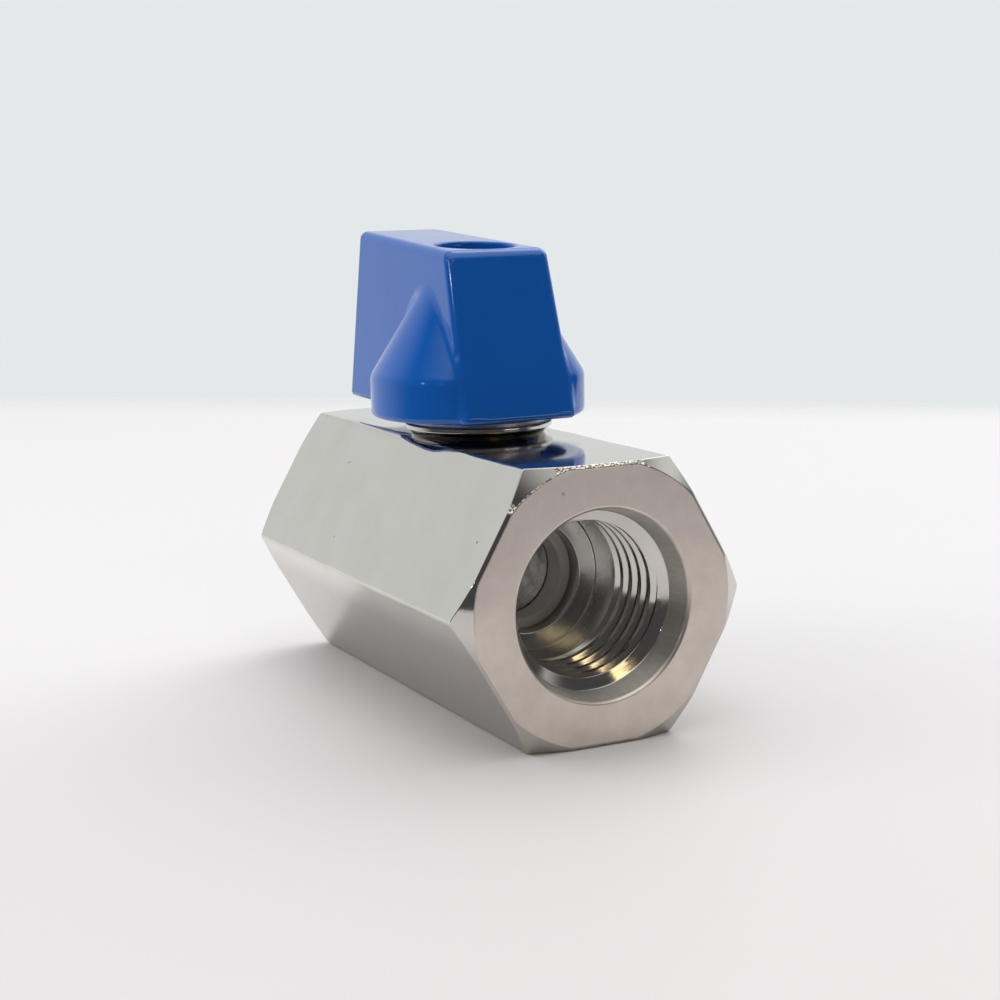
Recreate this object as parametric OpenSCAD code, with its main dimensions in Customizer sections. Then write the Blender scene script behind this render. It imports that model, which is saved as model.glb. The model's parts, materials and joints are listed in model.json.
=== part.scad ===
// Quarter-turn mini ball valve with a hexagonal body, two female ports and a wedge handle.
// The flow axis runs along X and the stem along Z. The origin is the middle of the bottom flat.
// The valve is drawn open, with the blade of the handle in line with the flow.

/* [Body] */
// Hexagon size across the flats
across_flats = 21; // [21:0.1:23]
// Length from end face to end face
body_length = 41; // [40:0.5:48]
// How far the turned circle of each end face stands outside the flats
end_circle_over = 0.12; // [0.05:0.01:0.3]
// Length of the corner chamfers at each end
corner_setback = 1; // [0.6:0.1:2]

/* [Ports] */
// Major diameter of the parallel pipe thread
thread_major_d = 13.157; // [13:0.001:13.3]
// Minor diameter of the thread, which is the wall of the tapped bore
thread_minor_d = 11.445; // [11.2:0.005:11.6]
// Pitch of the thread
thread_pitch = 1.337; // [1.25:0.001:1.4]
// Number of turns cut, with the run-out
thread_turns = 6.75; // [4:0.25:6.75]
// Diameter of the mouth at the end face
mouth_d = 14.3; // [14.1:0.05:14.9]
// Diameter at the foot of the mouth
mouth_foot_d = 13.5; // [13.4:0.05:13.8]
// Depth of the mouth
mouth_depth = 2; // [1:0.1:2.4]
// Depth of the tapped bore from the end face
port_depth = 11.9; // [11.5:0.1:12.2]
// Diameter of the passage between the tapped bore and the seat
passage_d = 8.8; // [7.6:0.1:9.4]

/* [Ball and seats] */
// Diameter of the ball
ball_d = 12; // [11.8:0.1:12.1]
// Diameter of the flow bore through the ball
ball_bore_d = 7; // [5:0.1:7.1]
// Width of the drive slot across the top of the ball
slot_w = 2.6; // [2:0.1:3]
// Depth of the drive slot
slot_depth = 1.7; // [1.4:0.1:1.8]
// Thickness of a seat ring along the flow
seat_length = 3.4; // [2.6:0.1:3.4]

/* [End connector] */
// Outside diameter of the screwed-in rear connector
connector_d = 17; // [16.6:0.1:17.2]
// Thickness of the gasket behind the connector's shoulder
gasket_t = 0.8; // [0.5:0.1:1]
// Width of the two spanner notches in the rear face
notch_w = 2.5; // [2:0.1:3.5]
// Depth of the spanner notches
notch_depth = 1; // [0.6:0.1:1.4]

/* [Stem] */
// Diameter of the stem
stem_d = 6; // [5.8:0.05:6.1]
// Diameter of the collar that keeps the stem in the body
collar_d = 7.9; // [7.4:0.1:8.1]
// Thickness of the collar
collar_t = 1.3; // [1:0.1:1.4]
// Distance over the two drive flats under the handle
drive_flats = 4.4; // [4.2:0.1:4.8]
// Thickness of an O-ring as squeezed in its groove
o_ring_t = 0.78; // [0.7:0.01:0.8]

/* [Stem boss] */
// Diameter of the foot of the boss
boss_lip_d = 12; // [11.6:0.1:12.4]
// Height of the foot above the top flat
boss_lip_h = 0.7; // [0.5:0.05:0.8]
// Diameter of the ring above the foot
boss_ring_d = 11.2; // [10.8:0.1:11.5]
// Height of the ring above the top flat
boss_ring_h = 1.3; // [1.1:0.05:1.35]
// Diameter of the stop collar inside the handle
stop_d = 10; // [9.6:0.1:10]
// Height of the stop collar above the top flat
stop_h = 4; // [3.5:0.1:4.2]

/* [Handle] */
// Gap between the top flat and the underside of the handle
handle_gap = 1.6; // [1.6:0.05:1.9]
// Diameter of the round skirt
skirt_d = 17.3; // [16.6:0.1:18]
// Height of the straight side of the skirt
skirt_h = 3.25; // [2.8:0.05:3.6]
// Height of the cone above the skirt
cone_h = 7; // [6:0.1:7.5]
// Diameter where the cone dies into the blade
cone_top_d = 8.8; // [8.2:0.1:9]
// Distance from the stem axis to the foot of the leaning front face
front_foot_x = 7.9; // [7:0.05:8.2]
// Distance from the stem axis to the top of the front face
front_top_x = 4.1; // [3.9:0.05:5]
// Distance from the stem axis to the foot of the rear end
rear_foot_x = 17.8; // [15.5:0.05:19]
// Distance from the stem axis to the top of the rear end
rear_top_x = 15.1; // [13:0.05:15.5]
// Width of the blade at the foot of the front face
front_foot_w = 10; // [9.4:0.1:10.4]
// Width of the blade at the top of the front face
front_top_w = 9; // [8.6:0.1:9.4]
// Width of the blade at the foot of the rear end
rear_foot_w = 8; // [7.8:0.1:9.4]
// Width of the blade at the top of the rear end
rear_top_w = 7.7; // [7.4:0.1:8.6]
// Height of the front top edge above the top flat
front_top_h = 14.85; // [14.4:0.05:16]
// Height of the rear top edge above the top flat
rear_top_h = 16; // [15:0.1:17]
// Radius of the moulded edges
edge_r = 0.45; // [0.3:0.05:1]
// Diameter of the screw recess in the top
recess_d = 6.4; // [6.2:0.1:6.6]
// Width of the rib that meets the stops
rib_w = 2.4; // [2:0.1:2.8]

/* [Handle screw] */
// Diameter of the screw's thread
screw_d = 3; // [2.9:0.05:3]
// Length of the screw under its head
screw_length = 8; // [6:0.5:9]
// Diameter of the pan head
screw_head_d = 5.6; // [5:0.1:5.8]
// Height of the pan head
screw_head_h = 2.2; // [1.8:0.1:2.4]
// Thickness of the plain washer
washer_t = 0.5; // [0.4:0.1:0.6]
// Thickness of the spring washer
spring_washer_t = 0.8; // [0.6:0.1:0.9]

/* [Hidden] */
$fn = 96;

// Clearances: turning fits, fixed pieces slipped together, the ball in its seats, open gaps
fit_gap = 0.04;
slip_gap = 0.05;
ball_gap = 0.1;
open_gap = 0.3;
cut_over = 1;

// Places along the flow axis
axis_z = across_flats / 2;
top_z = across_flats;
face_x = body_length / 2;
seat_back_x = ball_d / 2 + 1;
seat_front_x = seat_back_x - seat_length;
cavity_d = ball_d + 2 * open_gap;
seat_d = cavity_d - 2 * slip_gap;
seat_bore_d = ball_bore_d + 0.2;
passage_depth = face_x - seat_back_x;
gasket_front_x = -seat_back_x - 0.6;
gasket_back_x = gasket_front_x - gasket_t;

// Corners of the hexagon and the ends of the body
corner_d = across_flats / cos(30);
end_circle_d = across_flats + 2 * end_circle_over;
mouth_break = 0.2;
seam_break = 0.25;

// Thread groove, in steps small enough to read as a helix. It is cut narrower than the real
// form, so that more than half of the minor wall is solid behind its wide crests.
thread_step = 15;
thread_start = 1.6;
crest_flat = 0.78;
root_flat = 0.15;
groove_under = 0.1;
runout_turns = 1;
thread_r = [thread_minor_d / 2, thread_major_d / 2];
flank_slope = (thread_pitch - crest_flat - root_flat) / 2 / (thread_r[1] - thread_r[0]);
groove_in_r = thread_r[0] - groove_under;

// Places up the stem
ball_top_z = axis_z + ball_d / 2;
slot_floor_z = ball_top_z - slot_depth;
tang_w = slot_w - 0.2;
tang_length = 5.6;
tang_foot_z = slot_floor_z + 0.15;
collar_z = ball_top_z + 0.5;
washer_gap = 0.05;
thrust_t = 0.6;
thrust_z = collar_z + collar_t + washer_gap;
pocket_top_z = thrust_z + thrust_t + washer_gap;
pocket_d = collar_d + 2 * 0.15;
stem_bore_d = stem_d + 2 * fit_gap;
groove_w = 1;
groove_floor_d = stem_d - 2 * (o_ring_t + 0.02);
lower_groove_z = pocket_top_z + 1;
upper_groove_z = lower_groove_z + groove_w + 1.2;

// Boss and its stops
boss_foot_drop = 1.3;
stop_core_d = stem_bore_d + 1.5;
stop_gap = 0.12;

// Handle
foot_z = top_z + handle_gap;
ceiling_z = top_z + 4.6;
recess_floor_z = top_z + 10.2;
cavity_wall_d = stop_d + 2 * open_gap;
rib_tip_r = stop_core_d / 2 + 0.15;
stem_top_z = recess_floor_z - 0.4;
drive_d = stem_d + 2 * slip_gap;
front_lean = (front_foot_x - front_top_x) / (front_top_h - handle_gap);
hub_behind = 0.15;
foot_disc_h = 0.05;
skirt_round = 0.6;
shoulder_round = 1.4;
core_wall = 1.2;
core_rib_w = 1.2;
core_top = 3;

// Handle screw
washer_z = recess_floor_z;
spring_z = washer_z + washer_t;
head_z = spring_z + spring_washer_t;
screw_tip_z = head_z - screw_length;
screw_hole_d = screw_d + 2 * 0.02;
washer_hole_d = screw_d + 0.2;
washer_d = recess_d - 0.4;
spring_washer_d = recess_d - 0.8;
cross_w = 0.9;
cross_length = 3.2;
cross_depth = 1.3;

steel = "Silver";
bright_steel = "Gainsboro";
ptfe = "WhiteSmoke";
rubber = "DimGray";
nylon_blue = "RoyalBlue";

// Lays a shape drawn up Z along the flow axis, so that its +Z end points to +X
module along_flow() {
    translate([0, 0, axis_z]) rotate([0, 90, 0]) children();
}

// Points of an arc round a centre, from one angle to another
function arc(centre, r, from, to, steps = 8) = [
    for (i = [0:steps])
        let (a = from + (to - from) * i / steps)
        [centre[0] + r * cos(a), centre[1] + r * sin(a)]
];

// One cross-section of the thread groove: radius and height of its four corners
function groove_section(turn) =
    let (left = min(1, max(0.1, (thread_turns - turn) / runout_turns)))
    let (root_r = groove_in_r + (thread_r[1] - groove_in_r) * left)
    let (half_root = root_flat / 2)
    let (half_in = half_root + flank_slope * (root_r - groove_in_r))
    [[groove_in_r, -half_in], [root_r, -half_root], [root_r, half_root], [groove_in_r, half_in]];

// Right-hand helical groove that runs down from the mouth
module thread_groove() {
    count = thread_turns * 360 / thread_step;
    points = [
        for (i = [0:count])
            let (turn = i * thread_step / 360)
            for (p = groove_section(turn))
                [p[0] * cos(360 * turn), -p[0] * sin(360 * turn), p[1] - thread_start - thread_pitch * turn]
    ];
    sides = [
        for (i = [0:count - 1])
            for (j = [0:3])
                let (a = 4 * i + j, b = 4 * i + (j + 1) % 4)
                each [[a, b + 4, b], [a, a + 4, b + 4]]
    ];
    last = 4 * count;
    ends = [[0, 1, 2], [0, 2, 3], [last + 2, last + 1, last], [last + 3, last + 2, last]];
    polyhedron(points, concat(sides, ends), convexity = 10);
}

// Everything that is cut for one port, with its mouth at z = 0 and the flow going down
module port_cut() {
    minor_r = thread_r[0];
    foot_r = mouth_foot_d / 2;
    mouth_r = mouth_d / 2;
    rotate_extrude() polygon([
        [0, cut_over],
        [mouth_r + mouth_break, cut_over],
        [mouth_r + mouth_break, 0],
        [mouth_r, -mouth_break],
        [foot_r, -mouth_depth],
        [minor_r, -mouth_depth - (foot_r - minor_r)],
        [minor_r, -port_depth],
        [passage_d / 2, -port_depth],
        [passage_d / 2, -passage_depth - cut_over / 4],
        [0, -passage_depth - cut_over / 4]
    ]);
    thread_groove();
}

// Hexagonal bar with its corners turned off at both ends
module hex_bar() {
    half = body_length / 2;
    corner_r = corner_d / 2 + cut_over;
    slope = corner_setback / (corner_d / 2 - end_circle_d / 2);
    back = slope * (corner_r - end_circle_d / 2);
    along_flow() intersection() {
        rotate([0, 0, 30]) cylinder(d = corner_d, h = body_length, center = true, $fn = 6);
        rotate_extrude() polygon([
            [0, -half],
            [end_circle_d / 2, -half],
            [corner_r, back - half],
            [corner_r, half - back],
            [end_circle_d / 2, half],
            [0, half]
        ]);
    }
}

// Boss round the stem: a low foot, a ring, and a stop collar cut away over the handle's travel
module stem_boss() {
    reach = stop_d;
    side = rib_w / 2 + stop_gap;
    translate([0, 0, top_z - boss_foot_drop])
        cylinder(d = boss_lip_d, h = boss_foot_drop + boss_lip_h);
    translate([0, 0, top_z - boss_foot_drop])
        cylinder(d = boss_ring_d, h = boss_foot_drop + boss_ring_h);
    difference() {
        translate([0, 0, top_z]) cylinder(d = stop_d, h = stop_h);
        difference() {
            translate([side - reach, -side, top_z + boss_ring_h]) cube([reach, reach, stop_h]);
            translate([0, 0, top_z]) cylinder(d = stop_core_d, h = stop_h + cut_over);
        }
    }
}

module valve_body() {
    color(steel) difference() {
        union() {
            hex_bar();
            stem_boss();
        }
        translate([face_x, 0, axis_z]) rotate([0, 90, 0]) port_cut();
        along_flow() translate([0, 0, gasket_front_x - cut_over])
            cylinder(d = cavity_d, h = seat_back_x - gasket_front_x + cut_over);
        along_flow() translate([0, 0, -face_x - cut_over])
            cylinder(d = connector_d + 2 * slip_gap, h = face_x + cut_over + gasket_front_x);
        along_flow() translate([0, 0, -face_x - seam_break])
            cylinder(d1 = connector_d + 4 * seam_break, d2 = connector_d, h = 2 * seam_break);
        translate([0, 0, axis_z]) cylinder(d = pocket_d, h = pocket_top_z - axis_z);
        translate([0, 0, axis_z]) cylinder(d = stem_bore_d, h = top_z + stop_h + cut_over - axis_z);
    }
}

// Screwed-in rear end that holds the seats and the ball, flush with the body's rear face
module end_connector() {
    color(bright_steel) difference() {
        union() {
            along_flow() translate([0, 0, -face_x + seam_break])
                cylinder(d = connector_d, h = face_x - seam_break + gasket_back_x);
            along_flow() translate([0, 0, -face_x])
                cylinder(d1 = connector_d - 2 * seam_break, d2 = connector_d, h = seam_break);
            along_flow() translate([0, 0, gasket_back_x - cut_over])
                cylinder(d = seat_d, h = cut_over - gasket_back_x - seat_back_x);
        }
        translate([-face_x, 0, axis_z]) rotate([0, -90, 0]) port_cut();
        translate([-face_x - cut_over, -notch_w / 2, axis_z - connector_d])
            cube([notch_depth + cut_over, notch_w, 2 * connector_d]);
    }
}

module connector_gasket() {
    color(ptfe) along_flow() translate([0, 0, gasket_back_x]) difference() {
        cylinder(d = connector_d - 2 * slip_gap, h = gasket_t);
        translate([0, 0, -cut_over]) cylinder(d = cavity_d + 2 * slip_gap, h = gasket_t + 2 * cut_over);
    }
}

module ball() {
    color(bright_steel) difference() {
        translate([0, 0, axis_z]) sphere(d = ball_d);
        along_flow() cylinder(d = ball_bore_d, h = 2 * ball_d, center = true);
        translate([-slot_w / 2, -ball_d, slot_floor_z]) cube([slot_w, 2 * ball_d, ball_d]);
    }
}

// Seat ring dished to the ball, on the +X side
module seat_ring() {
    difference() {
        along_flow() translate([0, 0, seat_front_x]) cylinder(d = seat_d, h = seat_length);
        along_flow() cylinder(d = seat_bore_d, h = ball_d);
        translate([0, 0, axis_z]) sphere(d = ball_d + 2 * ball_gap);
    }
}

module front_seat() {
    color(ptfe) seat_ring();
}

module rear_seat() {
    color(ptfe) rotate([0, 0, 180]) seat_ring();
}

// Stem put in from inside, with its tang in the ball and its drive flats in the handle
module stem() {
    color(bright_steel) difference() {
        union() {
            translate([-tang_w / 2, -tang_length / 2, tang_foot_z])
                cube([tang_w, tang_length, collar_z - tang_foot_z]);
            translate([0, 0, collar_z]) cylinder(d = collar_d, h = collar_t);
            translate([0, 0, collar_z]) cylinder(d = stem_d, h = ceiling_z - collar_z);
            intersection() {
                translate([0, 0, collar_z]) cylinder(d = stem_d, h = stem_top_z - collar_z);
                translate([-stem_d, -drive_flats / 2, collar_z])
                    cube([2 * stem_d, drive_flats, stem_top_z - collar_z]);
            }
        }
        o_ring_groove(lower_groove_z);
        o_ring_groove(upper_groove_z);
        translate([0, 0, screw_tip_z - cut_over])
            cylinder(d = screw_hole_d, h = stem_top_z - screw_tip_z + 2 * cut_over);
    }
}

module o_ring_groove(z) {
    translate([0, 0, z]) difference() {
        cylinder(d = stem_d + 2 * cut_over, h = groove_w);
        translate([0, 0, -cut_over]) cylinder(d = groove_floor_d, h = groove_w + 2 * cut_over);
    }
}

module o_ring(z) {
    translate([0, 0, z + groove_w / 2]) rotate_extrude()
        translate([groove_floor_d / 2 + 0.01 + o_ring_t / 2, 0]) circle(d = o_ring_t, $fn = 48);
}

module lower_stem_o_ring() {
    color(rubber) o_ring(lower_groove_z);
}

module upper_stem_o_ring() {
    color(rubber) o_ring(upper_groove_z);
}

module thrust_washer() {
    color(ptfe) translate([0, 0, thrust_z]) difference() {
        cylinder(d = collar_d, h = thrust_t);
        translate([0, 0, -cut_over]) cylinder(d = stem_bore_d + 0.06, h = thrust_t + 2 * cut_over);
    }
}

// Round hub of the handle: straight skirt, rounded shoulder, and a cone that dies into the blade
module handle_hub() {
    skirt_r = skirt_d / 2;
    cone_angle = atan2(cone_h, skirt_r - cone_top_d / 2);
    shoulder_z = skirt_h - shoulder_round * tan((90 - cone_angle) / 2);
    translate([0, 0, foot_z]) rotate_extrude() polygon(concat(
        [[0, 0]],
        arc([skirt_r - skirt_round, skirt_round], skirt_round, -90, 0),
        arc([skirt_r - shoulder_round, shoulder_z], shoulder_round, 0, 90 - cone_angle),
        [[cone_top_d / 2, skirt_h + cone_h], [0, skirt_h + cone_h]]
    ));
}

// Blade of the handle: rounded along its upper edges, sharp along its foot.
// Its corners are [distance, width, height], drawn in by the radius of the edges.
module handle_blade() {
    r = edge_r;
    foot_corners = [
        [front_foot_x - r, front_foot_w / 2 - r, foot_z],
        [r - rear_foot_x, rear_foot_w / 2 - r, foot_z]
    ];
    top_corners = [
        [front_top_x - r, front_top_w / 2 - r, top_z + front_top_h - r],
        [r - rear_top_x, rear_top_w / 2 - r, top_z + rear_top_h - r]
    ];
    hull() {
        for (side = [-1, 1]) {
            for (c = foot_corners)
                translate([c[0], side * c[1], c[2]]) cylinder(r = r, h = foot_disc_h, $fn = 32);
            for (c = top_corners)
                translate([c[0], side * c[1], c[2]]) sphere(r = r, $fn = 32);
        }
    }
}

// Space in front of a plane just behind the leaning front face
module front_trim() {
    lean_angle = atan(front_lean);
    translate([front_foot_x - hub_behind, -skirt_d, foot_z]) rotate([0, -lean_angle, 0])
        translate([0, 0, -skirt_d]) cube([skirt_d, 2 * skirt_d, 3 * skirt_d]);
}

// Two pockets under the tail that leave an even wall and a middle rib
module tail_cores() {
    back_x = rear_top_x - core_wall;
    front_x = skirt_d / 2 + core_wall;
    outer_y = rear_top_w / 2 - core_wall;
    for (side = [-1, 1])
        translate([-back_x, side > 0 ? core_rib_w / 2 : -outer_y, foot_z - cut_over])
            cube([back_x - front_x, outer_y - core_rib_w / 2, front_top_h - handle_gap - core_top + cut_over]);
}

module handle() {
    rib_reach = cavity_wall_d / 2 + 0.4;
    color(nylon_blue) {
        difference() {
            union() {
                handle_blade();
                difference() {
                    handle_hub();
                    front_trim();
                }
            }
            difference() {
                translate([0, 0, foot_z - cut_over])
                    cylinder(d = cavity_wall_d, h = ceiling_z - foot_z + cut_over);
                translate([-rib_reach, -rib_w / 2, foot_z])
                    cube([rib_reach - rib_tip_r, rib_w, ceiling_z - foot_z + cut_over]);
            }
            intersection() {
                translate([0, 0, foot_z]) cylinder(d = drive_d, h = recess_floor_z);
                translate([-stem_d, -drive_flats / 2 - slip_gap, foot_z])
                    cube([2 * stem_d, drive_flats + 2 * slip_gap, recess_floor_z]);
            }
            translate([0, 0, recess_floor_z]) cylinder(d = recess_d, h = rear_top_h);
            tail_cores();
        }
    }
}

module plain_washer() {
    color(bright_steel) translate([0, 0, washer_z]) difference() {
        cylinder(d = washer_d, h = washer_t);
        translate([0, 0, -cut_over]) cylinder(d = washer_hole_d, h = washer_t + 2 * cut_over);
    }
}

// Split spring washer, closed flat under the screw head
module spring_washer() {
    split_w = 0.5;
    color(bright_steel) translate([0, 0, spring_z]) difference() {
        cylinder(d = spring_washer_d, h = spring_washer_t);
        translate([0, 0, -cut_over]) cylinder(d = washer_hole_d, h = spring_washer_t + 2 * cut_over);
        rotate([25, 0, 0]) translate([0, -split_w / 2, -cut_over])
            cube([spring_washer_d, split_w, spring_washer_t + 4 * cut_over]);
    }
}

// Pan head screw with a cross recess
module handle_screw() {
    head_r = screw_head_d / 2;
    round_r = screw_head_h * 0.55;
    tip_break = 0.4;
    color(bright_steel) difference() {
        union() {
            translate([0, 0, head_z]) rotate_extrude() polygon(concat(
                [[0, 0], [head_r, 0]],
                arc([head_r - round_r, screw_head_h - round_r], round_r, 0, 90),
                [[0, screw_head_h]]
            ));
            translate([0, 0, screw_tip_z + tip_break])
                cylinder(d = screw_d, h = screw_length - tip_break);
            translate([0, 0, screw_tip_z])
                cylinder(d1 = screw_d - 2 * tip_break, d2 = screw_d, h = tip_break);
        }
        for (turn = [0, 90])
            rotate([0, 0, turn + 20])
                translate([-cross_length / 2, -cross_w / 2, head_z + screw_head_h - cross_depth])
                cube([cross_length, cross_w, screw_head_h]);
    }
}

valve_body();
end_connector();
connector_gasket();
ball();
front_seat();
rear_seat();
stem();
thrust_washer();
lower_stem_o_ring();
upper_stem_o_ring();
handle();
plain_washer();
spring_washer();
handle_screw();
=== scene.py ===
import json
import math
from functools import partial

import bmesh
import bpy
import numpy as np
from mathutils import Matrix, Vector

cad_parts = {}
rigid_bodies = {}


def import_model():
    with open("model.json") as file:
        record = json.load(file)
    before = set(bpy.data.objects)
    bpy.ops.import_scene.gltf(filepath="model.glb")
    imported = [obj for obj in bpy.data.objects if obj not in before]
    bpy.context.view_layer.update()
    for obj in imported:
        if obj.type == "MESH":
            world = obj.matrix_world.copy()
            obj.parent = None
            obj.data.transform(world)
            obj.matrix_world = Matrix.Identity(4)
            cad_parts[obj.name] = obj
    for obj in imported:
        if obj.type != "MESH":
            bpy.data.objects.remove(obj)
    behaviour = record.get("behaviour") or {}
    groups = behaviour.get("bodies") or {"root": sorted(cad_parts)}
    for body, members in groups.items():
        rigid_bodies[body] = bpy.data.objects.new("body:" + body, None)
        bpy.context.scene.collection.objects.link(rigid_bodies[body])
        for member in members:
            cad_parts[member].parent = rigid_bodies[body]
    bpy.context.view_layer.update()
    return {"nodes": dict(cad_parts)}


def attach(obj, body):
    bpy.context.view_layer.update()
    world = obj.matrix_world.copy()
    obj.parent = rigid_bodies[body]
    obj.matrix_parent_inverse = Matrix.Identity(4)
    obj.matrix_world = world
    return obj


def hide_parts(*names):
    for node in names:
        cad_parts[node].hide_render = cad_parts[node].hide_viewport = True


for leftover in list(bpy.data.objects):   # the start-up scene's own objects
    bpy.data.objects.remove(leftover)
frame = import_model()
nodes = frame["nodes"]
print("frame loaded:", ", ".join(sorted(nodes)))

mm = 0.001            # every size below is in millimetres, the scene is in metres
axisHeight = 10.5     # the flow axis above the bottom flat


# small helpers

def hexColor(code):
    parts = [int(code[i:i + 2], 16) / 255 for i in (1, 3, 5)]
    linear = [p / 12.92 if p <= 0.04045 else ((p + 0.055) / 1.055) ** 2.4 for p in parts]
    return (*linear, 1.0)


# adds a node with its settings. inputs is a dictionary of sockets, or a list of values for the sockets in
# order. A value is a number, a hex colour, a socket, or a node, which stands for its first output in use
def addNode(tree, kind, inputs=(), **settings):
    node = tree.nodes.new("ShaderNode" + kind)
    for key, value in settings.items():
        setattr(node, key, value)
    for key, value in inputs.items() if isinstance(inputs, dict) else enumerate(inputs):
        if isinstance(value, bpy.types.Node):
            value = next(output for output in value.outputs if output.enabled)
        if isinstance(value, bpy.types.NodeSocket):
            tree.links.new(value, node.inputs[key])
        else:
            node.inputs[key].default_value = hexColor(value) if isinstance(value, str) else value
    return node


share, colorA, colorB = 0, 6, 7      # sockets of a colour mix, whose names are not unique
rgba = dict(data_type="RGBA")        # makes a mix one of colours
eased = dict(interpolation_type="SMOOTHSTEP")      # makes a map range ease in and out


def startMaterial(name):
    material = bpy.data.materials.new(name)
    material.use_nodes = True
    material.node_tree.nodes.clear()
    add = partial(addNode, material.node_tree)
    return material, add, add("TexCoord").outputs["Object"]


def endMaterial(material, surface):
    shader = addNode(material.node_tree, "BsdfPrincipled", surface)
    addNode(material.node_tree, "OutputMaterial", {"Surface": shader})
    return material


def smoothStep(value, low, high):
    t = np.clip((value - low) / (high - low), 0, 1)
    return t * t * (3 - 2 * t)


def meshPiece(name, points, faces, materials, faceMaterials=None):
    mesh = bpy.data.meshes.new(name)
    points = np.asarray(points, float).reshape(-1, 3) * mm
    mesh.from_pydata(points.tolist(), [], [list(f) for f in faces])
    for material in materials:
        mesh.materials.append(material)
    if faceMaterials is not None:
        mesh.polygons.foreach_set("material_index", np.asarray(faceMaterials, np.int32))
    work = bmesh.new()
    work.from_mesh(mesh)
    bmesh.ops.recalc_face_normals(work, faces=work.faces)
    work.to_mesh(mesh)
    work.free()
    mesh.shade_smooth()
    piece = bpy.data.objects.new(name, mesh)
    bpy.context.scene.collection.objects.link(piece)
    return piece


# faces of a grid of points, closed round its columns. Its rows close to a ring as well, or end in flat caps
def gridFaces(rows, columns, ring=True):
    r = np.arange(rows if ring else rows - 1)[:, None]
    c = np.arange(columns)[None, :]
    a, b = r * columns, ((r + 1) % rows) * columns
    d = (c + 1) % columns
    faces = np.stack([a + c, a + d, b + d, b + c], -1).reshape(-1, 4).tolist()
    total = rows * columns
    caps = [list(range(columns))[::-1], list(range(total - columns, total))]
    return faces if ring else faces + caps


# rounds the corners of an outline. Each corner is (along, out, rounding, finish), and along or out may be an
# array with one value per column. finish belongs to the strip that starts at the corner. hold is the flat row
# beside each rounding, and on a short strip both keep to a share of its length
def roundOutline(corners, columns, steps=5, hold=0.03, extra=None, closed=True):
    count, roundShare, holdShare = len(corners), 0.42, 0.05
    spots = np.zeros((count, columns, 2))
    for i, (along, out, rounding, finish) in enumerate(corners):
        spots[i, :, 0], spots[i, :, 1] = along, out
    rows, finishes = [], []
    for i, corner in enumerate(corners):
        here, before, after = spots[i], spots[i - 1], spots[(i + 1) % count]
        if not closed and i in (0, count - 1):
            rows.append(here)
            finishes.append(corner[3])
            continue
        toBefore, toAfter = before - here, after - here
        lengthBefore = np.linalg.norm(toBefore, axis=1, keepdims=True)
        lengthAfter = np.linalg.norm(toAfter, axis=1, keepdims=True)
        toBefore, toAfter = toBefore / lengthBefore, toAfter / lengthAfter
        back = np.minimum(corner[2], roundShare * np.minimum(lengthBefore, lengthAfter))
        holdBefore = np.minimum(hold, holdShare * lengthBefore)
        holdAfter = np.minimum(hold, holdShare * lengthAfter)
        earlier = corners[i - 1][3]
        rows.append(here + toBefore * (back + holdBefore))
        finishes.append(earlier)
        for s in range(steps + 1):
            t = s / steps
            rows.append(here + toBefore * back * (1 - t) ** 2 + toAfter * back * t ** 2)
            finishes.append(earlier if t < 0.5 else corner[3])
        start = here + toAfter * (back + holdAfter)
        rows.append(start)
        finishes.append(corner[3])
        for t in (extra or {}).get(i, ()):   # more rows along the strip that starts here
            nextBack = np.minimum(corners[(i + 1) % count][2], roundShare * lengthAfter) + holdAfter
            rows.append(start + (after - toAfter * nextBack - start) * t)
            finishes.append(corner[3])
    return np.stack(rows), finishes


# turns an outline in (place along the axis, distance from it) round the flow axis or the stem axis.
# A ring closes on itself, and a solid piece has a flat cap at its first and last row
def turnedPiece(name, outline, finishes, angles, materials, axis="stem", solid=False):
    along, out = outline[..., 0], outline[..., 1]
    across, up = out * np.cos(angles), out * np.sin(angles)
    if axis == "flow":
        points = np.stack([along, across, axisHeight + up], -1).reshape(-1, 3)
    else:
        points = np.stack([across, up, along], -1).reshape(-1, 3)
    finishes = np.asarray(finishes)
    if finishes.ndim == 1:      # one finish for each row, or one for each face
        finishes = np.repeat(finishes[:, None], len(angles), 1)
    finishes = finishes[:-1 if solid else None].ravel().tolist()
    if solid:
        finishes += [finishes[0], finishes[-1]]
    return meshPiece(name, points, gridFaces(*along.shape, ring=not solid), materials, finishes)


# the same from the corners of the outline, in even columns
def turnCorners(name, corners, columns, materials, axis="stem", solid=False, steps=5, hold=0.03):
    angles = np.arange(columns) * 2 * math.pi / columns
    outline, finishes = roundOutline(corners, columns, steps, hold, closed=not solid)
    return turnedPiece(name, outline, finishes, angles, materials, axis, solid)


def boxTool(low, high, turn=0.0):
    low, high = np.asarray(low, float), np.asarray(high, float)
    corners = np.array([[x, y, z] for x in (0, 1) for y in (0, 1) for z in (0, 1)])
    x, y, z = (low + corners * (high - low)).T
    c, s = math.cos(turn), math.sin(turn)
    points = np.stack([x * c - y * s, x * s + y * c, z], -1)
    faces = [[0, 1, 3, 2], [4, 6, 7, 5], [0, 4, 5, 1], [2, 3, 7, 6], [0, 2, 6, 4], [1, 5, 7, 3]]
    return meshPiece("tool", points, faces, [])


# joins a tool to a piece or cuts it away, keeps the result as plain mesh and removes the tool
def machine(piece, tool, operation):
    step = piece.modifiers.new("machine", "BOOLEAN")
    step.operation, step.object, step.solver = operation, tool, "EXACT"
    step.material_mode = "TRANSFER"
    bpy.context.view_layer.update()
    made = bpy.data.meshes.new_from_object(piece.evaluated_get(bpy.context.evaluated_depsgraph_get()))
    piece.modifiers.clear()
    made.name = piece.name
    piece.data = made
    bpy.data.objects.remove(tool)


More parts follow.
